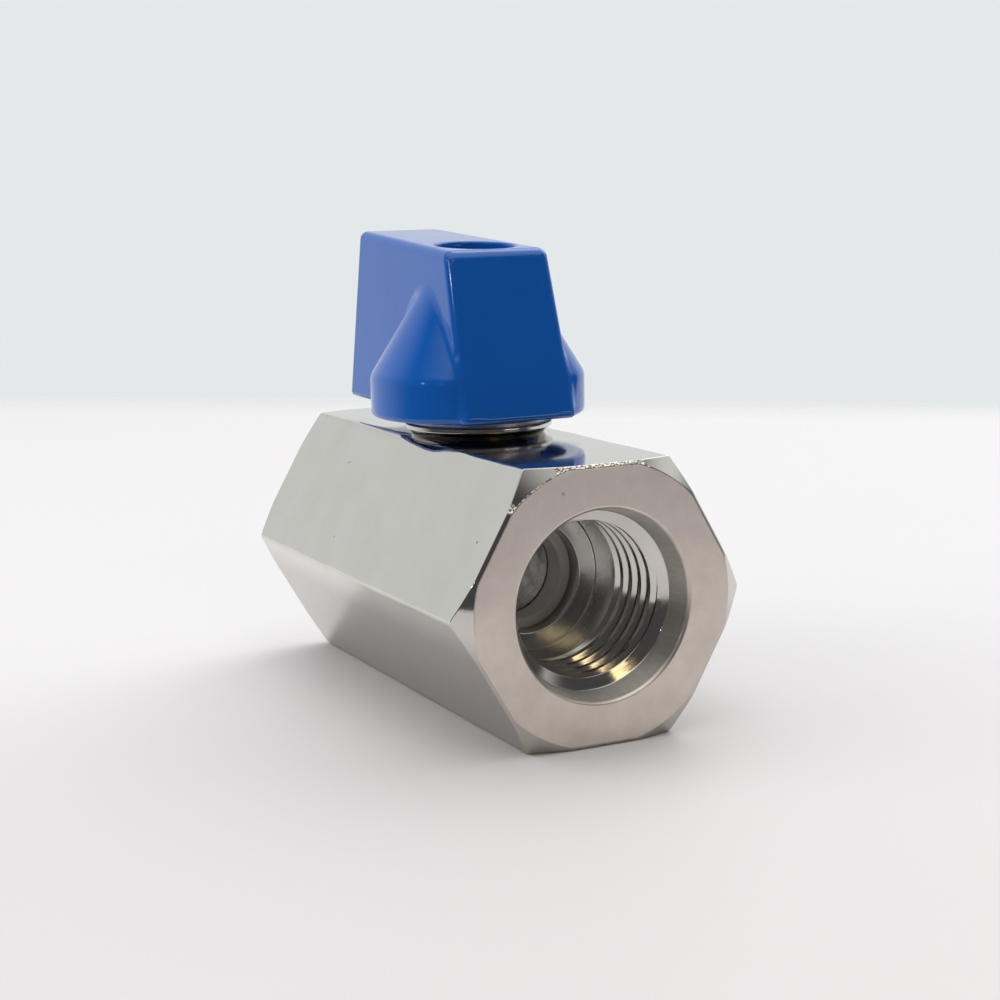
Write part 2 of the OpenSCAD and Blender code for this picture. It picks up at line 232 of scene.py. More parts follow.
# welds the slivers that cuts leave behind, and keeps the real edges crisp
def crispEdges(piece, degrees=28, weld=0.0002):
    work = bmesh.new()
    work.from_mesh(piece.data)
    bmesh.ops.remove_doubles(work, verts=work.verts, dist=weld * mm)
    bmesh.ops.dissolve_degenerate(work, edges=work.edges, dist=weld * mm)
    work.to_mesh(piece.data)
    work.free()
    piece.data.shade_smooth()
    piece.data.set_sharp_from_angle(angle=math.radians(degrees))


# materials

# Stainless steel bar, belt polished: bright and slightly warm, clear reflections that bend over long low
# waves, fine polish lines along the bar, duller patches, a few dark pits, and a painted shade low down
def polishedStainless():
    material, add, place = startMaterial("stainless bar belt polished")
    waves = add("TexNoise", {"Vector": place, "Scale": 1 / (8 * mm), "Detail": 1.5, "Roughness": 0.4})
    stretched = add("Mapping", {"Vector": place, "Scale": (1 / 9, 1, 1)})
    # real lines 0.03 mm apart, drawn coarser to show
    lines = add("TexNoise", {"Vector": stretched, "Scale": 1 / (0.22 * mm), "Detail": 3.0})
    patches = add("TexNoise", {"Vector": place, "Scale": 1 / (4.5 * mm), "Detail": 4.0, "Roughness": 0.6})
    spots = add("TexVoronoi", {"Vector": place, "Scale": 1 / (3.2 * mm)})
    pits = add("MapRange", [spots, 0.02, 0.045, 1.0, 0.0])
    tint = add("Mix", {share: patches, colorA: "#d9d6d0", colorB: "#cdc9c2"}, **rgba)
    height = add("SeparateXYZ", [place]).outputs["Z"]
    # painted shade: the colour turns greyer from 9.6 mm down to 7.4 mm above the bottom, for the shadow that
    # the lower flanks reflect
    below = add("MapRange", [height, 9.6 * mm, 7.4 * mm])
    shadedLow = add("Mix", {share: below, colorA: tint, colorB: "#b8b3ad"}, **rgba)
    pitted = add("Mix", {share: pits, colorA: shadedLow, colorB: "#4a4743"}, **rgba)
    dull = add("MapRange", [patches, 0.3, 0.75, 0.05, 0.12])
    wavy = add("Bump", {"Height": waves, "Distance": 0.05 * mm})
    lined = add("Bump", {"Height": lines, "Strength": 0.3, "Distance": 0.003 * mm, "Normal": wavy})
    return endMaterial(material, {"Base Color": pitted, "Metallic": 1.0, "Roughness": dull,
                                  "Normal": lined})


# Stainless steel, edges broken with a file: tiny facets that glitter white and dark
def filedStainless():
    material, add, place = startMaterial("stainless edge filed")
    # burrs of 0.1 mm, drawn coarser to show
    facets = add("TexVoronoi", {"Vector": place, "Scale": 1 / (0.22 * mm)})
    scale = add("TexNoise", {"Vector": place, "Scale": 1 / (0.3 * mm), "Detail": 3.0})
    tint = add("Mix", {share: scale, colorA: "#efeae0", colorB: "#b8b0a4"}, **rgba)
    cut = add("Bump", {"Height": facets, "Distance": 0.09 * mm})
    rough = add("Bump", {"Height": scale, "Distance": 0.08 * mm, "Normal": cut})
    return endMaterial(material, {"Base Color": tint, "Metallic": 1.0, "Roughness": 0.16, "Normal": rough})


# Stainless steel, faced on a lathe: duller and browner than the flats, fine rings round the port,
# cloudy stains and a few dents
def facedStainless():
    material, add, place = startMaterial("stainless steel lathe faced")
    centred = add("VectorMath", [place, (0, 0, axisHeight * mm)], operation="SUBTRACT")
    across = add("VectorMath", [centred, (0, 1, 1)], operation="MULTIPLY")
    radius = add("VectorMath", [across], operation="LENGTH")
    # feed of 0.08 mm, drawn coarser to show
    rings = add("TexNoise", {"W": radius, "Scale": 1 / (0.2 * mm)}, noise_dimensions="1D")
    mottle = add("TexNoise", {"Vector": place, "Scale": 1 / (3.2 * mm), "Detail": 5.0, "Roughness": 0.62})
    tint = add("Mix", {share: mottle, colorA: "#e6ddd3", colorB: "#c0b6ae"}, **rgba)
    spots = add("TexVoronoi", {"Vector": place, "Scale": 1 / (3.6 * mm)})
    dents = add("MapRange", [spots, 0.025, 0.06, 1.0, 0.0])
    dented = add("Mix", {share: dents, colorA: tint, colorB: "#7d746c"}, **rgba)
    dull = add("MapRange", [mottle, 0.3, 0.7, 0.3, 0.4])
    ringed = add("Bump", {"Height": rings, "Strength": 0.5, "Distance": 0.006 * mm})
    return endMaterial(material, {"Base Color": dented, "Metallic": 1.0, "Roughness": dull,
                                  "Normal": ringed})


# Stainless steel, tapped with oil: near mirror flanks with sharp glints and fine tool rings round the bore.
# Past the end of the thread it is duller, as drilled, and deeper in it the colour is darker, a painted shade
# of the hollow
def tappedStainless():
    material, add, place = startMaterial("stainless steel tapped")
    stretched = add("Mapping", {"Vector": place, "Scale": (1, 0.12, 0.12)})
    # tool marks of 0.05 mm, drawn coarser to show
    rings = add("TexNoise", {"Vector": stretched, "Scale": 1 / (0.14 * mm), "Detail": 3.0})
    oil = add("TexNoise", {"Vector": place, "Scale": 1 / (2.5 * mm), "Detail": 3.0})
    tint = add("Mix", {share: oil, colorA: "#d8d6d0", colorB: "#c9c6bf"}, **rgba)
    along = add("SeparateXYZ", [place]).outputs["X"]
    inward = add("Math", [along], operation="ABSOLUTE")
    deep = add("MapRange", [inward, 12.0 * mm, 10.8 * mm])
    drilled = add("MapRange", [inward, 7.4 * mm, 8.4 * mm])
    # painted shade: the colour turns dark grey from 8.4 mm to 7.4 mm from the body's middle, deep in the
    # bores and under the boss's lip
    drilledAndShaded = add("Mix", {share: drilled, colorA: "#938f87", colorB: "#d2d1ce"}, **rgba)
    tintShadedDeep = add("Mix", {share: deep, colorA: tint, colorB: drilledAndShaded}, **rgba)
    bright = add("MapRange", [rings, 0.3, 0.7, 0.07, 0.15])
    rough = add("Math", [deep, drilled], operation="MULTIPLY")
    dull = add("Math", [rough, 0.13, bright], operation="MULTIPLY_ADD")
    ringed = add("Bump", {"Height": rings, "Strength": 0.5, "Distance": 0.005 * mm})
    return endMaterial(material, {"Base Color": tintShadedDeep, "Metallic": 1.0, "Roughness": dull, "Normal": ringed})


# direction of the tool marks round the flow axis, for the two steels that smear light across them
def roundFlow(add, place):
    fromAxis = add("VectorMath", [place, (0, 0, axisHeight * mm)], operation="SUBTRACT")
    return add("VectorMath", [(1, 0, 0), fromAxis], operation="CROSS_PRODUCT")


# Stainless steel, countersunk: grey, smeared along the bore by the tool rings round it, with chatter marks
def countersunkStainless():
    material, add, place = startMaterial("stainless steel countersunk")
    flat = add("Mapping", {"Vector": place, "Scale": (0.15, 1, 1)})
    chatter = add("TexNoise", {"Vector": flat, "Scale": 1 / (0.35 * mm), "Detail": 3.0})
    around = add("Mapping", {"Vector": place, "Scale": (1, 0.12, 0.12)})
    # scratches of 0.04 mm, drawn coarser to show
    rings = add("TexNoise", {"Vector": around, "Scale": 1 / (0.16 * mm), "Detail": 3.0})
    tint = add("Mix", {share: chatter, colorA: "#efece6", colorB: "#cdc8c0"}, **rgba)
    cut = add("Bump", {"Height": chatter, "Strength": 0.6, "Distance": 0.02 * mm})
    ringed = add("Bump", {"Height": rings, "Strength": 0.7, "Distance": 0.03 * mm, "Normal": cut})
    return endMaterial(material, {"Base Color": tint, "Metallic": 1.0, "Roughness": 0.46, "Normal": ringed,
                                  "Anisotropic": 0.85, "Anisotropic Rotation": 0.25,
                                  "Tangent": roundFlow(add, place)})


# Stainless steel, drilled and left matt: cloudy grey with dark blotches
def drilledStainless():
    material, add, place = startMaterial("stainless steel drilled")
    cloud = add("TexNoise", {"Vector": place, "Scale": 1 / (1.1 * mm), "Detail": 5.0, "Roughness": 0.65})
    blotch = add("MapRange", [cloud, 0.36, 0.6])
    tint = add("Mix", {share: blotch, colorA: "#c2c0bd", colorB: "#f2f0ed"}, **rgba)
    pitted = add("Bump", {"Height": cloud, "Strength": 0.7, "Distance": 0.05 * mm})
    return endMaterial(material, {"Base Color": tint, "Metallic": 1.0, "Roughness": 0.5, "Normal": pitted,
                                  "Anisotropic": 0.8, "Anisotropic Rotation": 0.25,
                                  "Tangent": roundFlow(add, place)})


# Stainless steel ball, lapped: a cool mirror outside, with drawn lines along the bore
def lappedStainless():
    material, add, place = startMaterial("stainless ball lapped")
    stretched = add("Mapping", {"Vector": place, "Scale": (0.1, 1, 1)})
    lines = add("TexNoise", {"Vector": stretched, "Scale": 1 / (0.25 * mm), "Detail": 3.0})
    dull = add("MapRange", [lines, 0.3, 0.7, 0.07, 0.2])
    tint = add("Mix", {share: lines, colorA: "#dcdcdc", colorB: "#cfd0d1"}, **rgba)
    lined = add("Bump", {"Height": lines, "Strength": 0.4, "Distance": 0.004 * mm})
    return endMaterial(material, {"Base Color": tint, "Metallic": 1.0, "Roughness": dull, "Normal": lined})


# Nylon, moulded in a polished tool: deep blue with a wet gloss, very slight sink waves and a fine orange peel
def mouldedNylon():
    material, add, place = startMaterial("nylon moulded glossy blue")
    sink = add("TexNoise", {"Vector": place, "Scale": 1 / (7 * mm), "Detail": 1.0})
    # real peel 0.3 mm, drawn coarser to show
    peel = add("TexNoise", {"Vector": place, "Scale": 1 / (0.7 * mm)})
    tint = add("Mix", {share: sink, colorA: "#0c63c6", colorB: "#126acc"}, **rgba)
    dull = add("MapRange", [peel, 0.3, 0.7, 0.05, 0.08])
    sunk = add("Bump", {"Height": sink, "Strength": 0.6, "Distance": 0.06 * mm})
    peeled = add("Bump", {"Height": peel, "Strength": 0.3, "Distance": 0.004 * mm, "Normal": sunk})
    return endMaterial(material, {"Base Color": tint, "Roughness": dull, "IOR": 1.53, "Normal": peeled})


# PTFE, turned: waxy white with faint tool rings
def turnedPtfe():
    material, add, place = startMaterial("PTFE turned")
    cloud = add("TexNoise", {"Vector": place, "Scale": 1 / (1.5 * mm), "Detail": 3.0})
    around = add("Mapping", {"Vector": place, "Scale": (1, 0.1, 0.1)})
    rings = add("TexNoise", {"Vector": around, "Scale": 1 / (0.2 * mm)})
    tint = add("Mix", {share: cloud, colorA: "#f1f0ec", colorB: "#e6e5df"}, **rgba)
    ringed = add("Bump", {"Height": rings, "Strength": 0.5, "Distance": 0.006 * mm})
    return endMaterial(material, {"Base Color": tint, "Roughness": 0.42, "IOR": 1.35, "Normal": ringed})


# Fluoro-rubber, moulded: nearly black, matt, with a fine powdery grain
def mouldedRubber():
    material, add, place = startMaterial("fluoro rubber moulded")
    grain = add("TexNoise", {"Vector": place, "Scale": 1 / (0.15 * mm), "Detail": 3.0})
    tint = add("Mix", {share: grain, colorA: "#1b1b1c", colorB: "#2a2a2b"}, **rgba)
    grained = add("Bump", {"Height": grain, "Strength": 0.5, "Distance": 0.006 * mm})
    return endMaterial(material, {"Base Color": tint, "Roughness": 0.6, "IOR": 1.45, "Normal": grained})


# Steel, bright zinc plated: cool silver with faint cloudy spots left by the bath
def platedSteel():
    material, add, place = startMaterial("steel bright zinc plated")
    cloud = add("TexNoise", {"Vector": place, "Scale": 1 / (0.8 * mm), "Detail": 4.0})
    tint = add("Mix", {share: cloud, colorA: "#d4d7da", colorB: "#bfc4ca"}, **rgba)
    dull = add("MapRange", [cloud, 0.3, 0.7, 0.18, 0.32])
    clouded = add("Bump", {"Height": cloud, "Strength": 0.3, "Distance": 0.005 * mm})
    return endMaterial(material, {"Base Color": tint, "Metallic": 1.0, "Roughness": dull,
                                  "Normal": clouded})


barSteel, faceSteel, boreSteel = polishedStainless(), facedStainless(), tappedStainless()
filedSteel, coneSteel, drilledSteel = filedStainless(), countersunkStainless(), drilledStainless()
bodySteels = [barSteel, faceSteel, boreSteel, filedSteel, coneSteel]
onFlat, onFace, inBore, onEdge, onCone = range(5)      # places of the steels in that list
ballSteel, blueNylon, whitePtfe = lappedStainless(), mouldedNylon(), turnedPtfe()
blackRubber, zincSteel = mouldedRubber(), platedSteel()
print("materials ready")


# the two threaded ports

port = dict(mouthRadius=7.35, breakRadius=7.15, breakDepth=0.2, footRadius=6.78, footDepth=2.2, coneAngle=60,
            drillRadius=5.9, minorRadius=5.7225, majorRadius=6.5785, pitch=1.337, threadAngle=55,
            start=2.0, turns=5.6, windIn=0.25, soft=0.075, tapSunk=0.05, tapCore=0.3, tapSteps=144,
            boreDepth=11.9, passageRadius=4.4)
port["coneDepth"] = (port["footDepth"] + (port["footRadius"] - port["drillRadius"])
                     * math.tan(math.radians(port["coneAngle"] / 2)))


# the corners of a port's bored outline from its inner end to its mouth, on the front or the rear end
def portCorners(side):
    p, half = port, bodySetup["half"]
    spots = [("boreDepth", "passageRadius", 0.12, inBore), ("boreDepth", "drillRadius", 0.12, inBore),
             ("coneDepth", "drillRadius", 0.06, inBore), ("footDepth", "footRadius", 0.06, onCone),
             ("breakDepth", "breakRadius", 0.08, onFace)]
    return [(side * (half - p[depth]), p[radius], *rest) for depth, radius, *rest in spots]


# a tap: the thread's groove with rounded root and crest as a solid that winds in from the mouth and runs out
# over its last turn. The rear port is the front one turned half a turn about Y
def tapTool(side):
    p = port
    # places across the groove, close together where its outline bends
    spots = np.array([0.66, 0.62, 0.59, 0.56, 0.53, 0.49, 0.43, 0.3, 0.2, 0.165, 0.135, 0.1, 0.05])
    spots = np.concatenate([-spots, [0.0], spots[::-1]])
    limit, soft = (p["majorRadius"] - p["minorRadius"]) / 2, p["soft"]
    height = (p["pitch"] / 4 - np.abs(spots)) / math.tan(math.radians(p["threadAngle"] / 2))
    height = limit - np.logaddexp(0, (limit - height) / soft) * soft
    height = np.logaddexp(0, (height + limit) / soft) * soft
    turns = np.arange(-p["windIn"], p["turns"], 1 / p["tapSteps"])
    cutting = np.clip(turns / p["windIn"] + 1, 0, 1) * np.clip(p["turns"] - turns, 0, 1)
    radius = p["minorRadius"] - p["tapSunk"] + height * cutting[:, None]
    inside = np.full((len(turns), 2), p["minorRadius"] - p["tapCore"])
    radius = np.hstack([radius, inside])
    offset = np.concatenate([spots, spots[[-1, 0]]])
    along = bodySetup["half"] - p["start"] - p["pitch"] * turns[:, None] - offset
    angles = 2 * math.pi * turns[:, None]
    across, up = -radius * np.sin(angles), -radius * np.cos(angles)
    points = np.stack([side * along, across, axisHeight + side * up], -1).reshape(-1, 3)
    faces = gridFaces(len(turns), len(offset), ring=False)
    return meshPiece("tap", points, faces, bodySteels, [inBore] * len(faces))


# hexagonal body with its boss

bodySetup = dict(half=20.499, flat=10.5, endCircle=10.62, setback=1.0, deburr=0.17, burrWide=0.08,
                 filed=(100, 34), edgeRounds=(0.45, 0.35, 0.3, 0.6, 0.4, 0.4), leastRound=0.12,
                 roundWander=0.1, wanderWaves=((0.61, 3), (1.37, 5), 0.6), endFade=(1.5, 4), rows=90,
                 scoop=(120, 3.6, 2.4, 0.95), worn=(-13, 1.5, 0.9), wornFade=(2, 1),
                 rearBore=8.55, seamRadius=8.75, seamDepth=0.2, gasketSeat=-7.6, chamber=6.3, passageEnd=7.0)
bossSetup = dict(neckFoot=(4.43, 19.7), neckTop=(5.7, 21.6), lip=(6.0, 22.0), ring=(5.6, 22.3),
                 collar=(5.0, 25.0), middle=0.8, core=3.79, side=1.32, stemBore=3.04, pocket=(4.1, 19.0),
                 columns=128, toolReach=12, toolTop=27, coreSpan=(20, 28))


# distance from the flow axis to a hexagon with rounded corners
def hexRadius(angles, rounding):
    flat, sixth = bodySetup["flat"], math.radians(60)
    corner = flat / math.cos(sixth / 2)
    offset = np.abs((angles + sixth / 2) % sixth - sixth / 2)   # from the nearest corner
    centre = corner - rounding / math.cos(sixth / 2)
    tangent = np.arctan(0.5 * rounding / (centre + rounding * math.cos(sixth / 2)))
    straight = flat / np.cos(sixth / 2 - offset)
    curved = centre * np.cos(offset) + np.sqrt(np.maximum(rounding ** 2 - (centre * np.sin(offset)) ** 2, 0))
    return np.where(offset < tangent, curved, straight)


# angles of the columns, in degrees from each long edge first: close together over its rounding, then even
def hexAngles():
    near = np.array([0, 0.15, 0.3, 0.45, 0.62, 0.8, 1.0, 1.25, 1.55, 1.9, 2.3, 2.75, 3.3])
    half = np.concatenate([near, np.linspace(near[-1], 30, 14)[1:]])
    one = np.concatenate([-half[:0:-1], half])[:-1]
    return np.radians(np.concatenate([one + 60 * k for k in range(6)]))


def makeBody():
    b, p = bodySetup, port
    angles = hexAngles()
    columns = len(angles)
    corner = np.round(np.degrees(angles) / 60).astype(int) % 6      # the long edge nearest to each column
    edgeRound = np.array(b["edgeRounds"])[corner]
    sharp = hexRadius(angles, edgeRound)
    slope = b["setback"] / (b["flat"] / math.cos(math.radians(30)) - b["endCircle"])
    setback = np.maximum((sharp - b["endCircle"]) * slope, b["deburr"])
    edge = np.minimum(b["endCircle"], sharp - b["deburr"] / slope)
    half = b["half"]
    corners = [
        (half, p["mouthRadius"], 0.08, onFace),
        (half, edge, 0.1, onEdge),
        (half - setback, sharp, 0.05, onFlat),
        (setback - half, sharp, 0.05, onEdge),
        (-half, edge, 0.1, onFace),
        (-half, b["seamRadius"], 0.06, inBore),
        (b["seamDepth"] - half, b["rearBore"], 0.08, inBore),
        (b["gasketSeat"], b["rearBore"], 0.1, inBore),
        (b["gasketSeat"], b["chamber"], 0.1, inBore),
        (b["passageEnd"], b["chamber"], 0.1, inBore),
        (b["passageEnd"], p["passageRadius"], 0.1, inBore),
    ] + portCorners(1)
    outline, finishes = roundOutline(corners, columns, extra={2: np.linspace(0, 1, b["rows"])[1:-1]})
    # the long edges are rounded unevenly by the polishing belt, and one is ground back beside the boss
    along, out = outline[..., 0], outline[..., 1]
    (slow, shift), (quick, otherShift), less = b["wanderWaves"]
    wander = np.sin(along * slow + shift * np.cos(angles))
    wander = wander + np.sin(along * quick + otherShift * np.sin(angles)) * less
    rounding = np.maximum(edgeRound + b["roundWander"] * wander, b["leastRound"])
    scoopEdge, scoopAt, scoopLong, scoopDeep = b["scoop"]
    scoop = scoopDeep * np.exp(-((along - scoopAt) / scoopLong) ** 4)
    wornFrom, wornTo, wornDeep = b["worn"]
    fadeFrom, fadeTo = b["wornFade"]
    scoop = scoop + (wornDeep * smoothStep(along, wornFrom - fadeFrom, wornFrom + fadeFrom)
                     * smoothStep(-along, -wornTo - fadeTo, -wornTo + fadeTo))
    rounding = rounding + np.where(corner == round(scoopEdge / 60), scoop, 0)
    rounding = edgeRound + (rounding - edgeRound) * smoothStep(half - np.abs(along), *b["endFade"])
    uneven = hexRadius(np.broadcast_to(angles, along.shape), rounding)
    long = np.abs(out - sharp) < 1e-6
    out[long] = uneven[long]
    # the corner chamfers are polished, and the burr along the end circle and the flats is filed over the top
    # of the body
    finishes = np.repeat(np.array(finishes)[:, None], columns, 1)
    chamfered = (finishes == onEdge) & (setback > 2 * b["deburr"])
    fromCircle = np.hypot(np.abs(along) - half, out - b["endCircle"])
    finishes[chamfered & (fromCircle > b["burrWide"])] = onFlat
    filedMiddle, filedHalf = b["filed"]
    finishes[(finishes == onEdge) & (np.abs(np.degrees(angles) - filedMiddle) > filedHalf)] = onFlat
    body = turnedPiece("hexBody", outline, finishes, angles, bodySteels, axis="flow")
    machine(body, tapTool(1), "DIFFERENCE")
    print("hexagon body with its tapped port:", len(body.data.polygons), "faces")

    s = bossSetup
    bossCorners = [
        # undercut below the lip, which leaves a thin disc; the bore's steel darkens it with painted shade
        (s["neckFoot"][1], s["neckFoot"][0], 0.02, inBore),
        (s["neckTop"][1], s["neckTop"][0], 0.06, inBore),
        (s["neckTop"][1], s["lip"][0], 0.08, onFlat),
        (s["lip"][1], s["lip"][0], 0.12, onFace),
        (s["lip"][1], s["ring"][0], 0.06, onCone),
        (s["ring"][1], s["ring"][0], 0.1, onFace),
        (s["ring"][1], s["collar"][0], 0.08, onFace),
        (s["collar"][1], s["collar"][0], 0.12, onFace),
        (s["collar"][1], s["middle"], 0.01, onFace),
    ]
    boss = turnCorners("boss", bossCorners, s["columns"], bodySteels, solid=True)
    # the stop collar is open over the handle's quarter turn
    reach, top = s["toolReach"], s["toolTop"]
    sector = boxTool((s["side"] - reach, -s["side"], s["ring"][1]), (s["side"], reach, top))
    coreCorners = [(end, s["core"], 0.01, 0) for end in s["coreSpan"]]
    machine(sector, turnCorners("core", coreCorners, s["columns"], [], solid=True), "DIFFERENCE")
    machine(boss, sector, "DIFFERENCE")
    machine(body, boss, "UNION")
    holeCorners = [
        (axisHeight, s["pocket"][0], 0.01, inBore),
        (s["pocket"][1], s["pocket"][0], 0.1, inBore),
        (s["pocket"][1], s["stemBore"], 0.1, inBore),
        (top, s["stemBore"], 0.01, inBore),
    ]
    machine(body, turnCorners("hole", holeCorners, s["columns"], bodySteels, solid=True), "DIFFERENCE")
    crispEdges(body)
    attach(body, "body")
    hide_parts("valve_body")
    print("body with boss:", len(body.data.polygons), "faces")


# rear end that screws into the body, with its own port and two spanner notches

insertSetup = dict(radius=8.5, seam=0.25, shoulder=-8.4, noseRadius=6.25, noseEnd=-7.0, columns=216,
                   notch=(1.25, 1.0), notchSpan=(-9, 30))


def makeInsert():
    n, p, half = insertSetup, port, bodySetup["half"]
    corners = [
        (-half, p["mouthRadius"], 0.08, onFace),
        (-half, n["radius"] - n["seam"], 0.06, onFace),
        (n["seam"] - half, n["radius"], 0.06, inBore),
        (n["shoulder"], n["radius"], 0.1, inBore),
        (n["shoulder"], n["noseRadius"], 0.08, inBore),
        (n["noseEnd"], n["noseRadius"], 0.1, inBore),
        (n["noseEnd"], p["passageRadius"], 0.1, inBore),
    ] + portCorners(-1)
    insert = turnCorners("rearInsert", corners, n["columns"], bodySteels, axis="flow")
    machine(insert, tapTool(-1), "DIFFERENCE")
    wide, deep = n["notch"]
    low, high = n["notchSpan"]
    machine(insert, boxTool((-half - 1, -wide, low), (deep - half, wide, high)), "DIFFERENCE")
    crispEdges(insert)
    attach(insert, "body")
    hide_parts("end_connector")
    print("rear insert:", len(insert.data.polygons), "faces")


# ball and its two seats

ballSetup = dict(radius=6.0, bore=3.5, mouthRound=0.14, arcSteps=46, columns=160,
                 slotHalf=1.3, slotFloor=14.8, slotReach=9, slotTop=20)
seatSetup = dict(front=3.6, back=7.0, bore=3.6, radius=6.25, dish=6.1, arcSteps=9, columns=128)


def makeBall():
    b = ballSetup
    lapped, drilled = 0, 1      # places in the ball's list of steels
    edge = math.sqrt(b["radius"] ** 2 - b["bore"] ** 2)
    start = math.asin(b["bore"] / b["radius"])
    corners = [(edge, b["bore"], b["mouthRound"], lapped)]
    for a in np.linspace(start, math.pi - start, b["arcSteps"])[1:-1]:
        corners.append((b["radius"] * math.cos(a), b["radius"] * math.sin(a), 0.12, lapped))
    corners.append((-edge, b["bore"], b["mouthRound"], drilled))
    ball = turnCorners("ballWithSlot", corners, b["columns"], [ballSteel, drilledSteel], axis="flow",
                       steps=3, hold=0.02)
    wide, reach = b["slotHalf"], b["slotReach"]
    machine(ball, boxTool((-wide, -reach, b["slotFloor"]), (wide, reach, b["slotTop"])), "DIFFERENCE")
    crispEdges(ball)
    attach(ball, "ball")
    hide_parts("ball")


def makeSeats():
    t = seatSetup
    low, high = math.asin(t["bore"] / t["dish"]), math.acos(t["front"] / t["dish"])
    for side, name in ((1, "front_seat"), (-1, "rear_seat")):
        corners = []
        for a in np.linspace(low, high, t["arcSteps"]):
            corners.append((side * t["dish"] * math.cos(a), t["dish"] * math.sin(a), 0.05, 0))
        corners.append((side * t["front"], t["radius"], 0.15, 0))
        corners += [(side * t["back"], t[radius], 0.2, 0) for radius in ("radius", "bore")]
        seat = turnCorners("seatRing." + name.split("_")[0], corners, t["columns"], [whitePtfe], axis="flow")
        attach(seat, "body")
        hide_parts(name)


# moulded handle, drawn as a distance field so that every edge and corner is rounded as moulded

handleSetup = dict(edge=0.7, footEdge=0.45, foot=22.6, fillet=0.3, filletFade=(0.3, 1.2), cutEdge=0.22,
                   frontFoot=(7.9, 5.0, 22.6), frontTop=(4.1, 4.5, 35.85),
                   rearFoot=(-17.8, 4.0, 22.6), rearTop=(-15.1, 3.85, 36.99), past=3.0,
                   skirt=(8.65, 25.85), cone=(4.4, 32.85), skirtRound=0.45, shoulderRound=1.4, arcSteps=7,
                   cavity=(5.3, 25.6), hollow=(7.1, 23.8), spaceEdge=0.3, ribHalf=1.2, ribTip=3.94,
                   ribEdge=0.2, hole=(3.05, 2.25), holeEdge=0.1, recess=(3.2, 31.2), recessEdge=0.15,
                   coreX=(-13.9, -9.85), coreY=(0.6, 2.65), coreTop=32.85, coreEdge=0.5, coreTopEdge=0.4,
                   cell=0.15, low=(-18.3, -9.3, 22.2), high=(8.2, 9.3, 37.4))


# signed distance from points (u, v) to a closed outline of straight edges
def outlineDistance(corners, u, v):
    corners = np.asarray(corners, float)
    nearest = np.full(u.shape, 1e9)
    inside = np.zeros(u.shape, bool)
    for a, b in zip(corners, np.roll(corners, -1, 0)):
        edge = b - a
        du, dv = u - a[0], v - a[1]
        t = np.clip((du * edge[0] + dv * edge[1]) / (edge @ edge), 0, 1)
        nearest = np.minimum(nearest, (du - t * edge[0]) ** 2 + (dv - t * edge[1]) ** 2)
        if edge[1] != 0:
            inside ^= ((a[1] > v) != (b[1] > v)) & (du < edge[0] * dv / edge[1])
    return np.where(inside, -1, 1) * np.sqrt(nearest)


def roundJoin(a, b, radius):      # both solids, with a hollow fillet where they meet
    corner = np.hypot(np.maximum(radius - a, 0), np.maximum(radius - b, 0))
    return np.maximum(radius, np.minimum(a, b)) - corner


def roundBoth(a, b, radius):      # only what lies in both, with a rounded edge
    return -roundJoin(-a, -b, radius)


# skirt and cone from the side, with round arcs at the foot and the shoulder
def hubOutline():
    h = handleSetup
    radius, top = h["skirt"]
    foot, shoulder = h["skirtRound"], h["shoulderRound"]
    lean = math.atan2(radius - h["cone"][0], h["cone"][1] - top)
    shoulderLow = top - shoulder * math.tan(lean / 2)
    right = []
    for a in np.radians(np.linspace(-90, 0, h["arcSteps"])):
        right.append((radius - foot + foot * math.cos(a), h["foot"] + foot + foot * math.sin(a)))
    for a in np.linspace(0, lean, h["arcSteps"]):
        right.append((radius - shoulder + shoulder * math.cos(a), shoulderLow + shoulder * math.sin(a)))
    right.append(h["cone"])
    return right + [(-u, v) for u, v in right[::-1]]


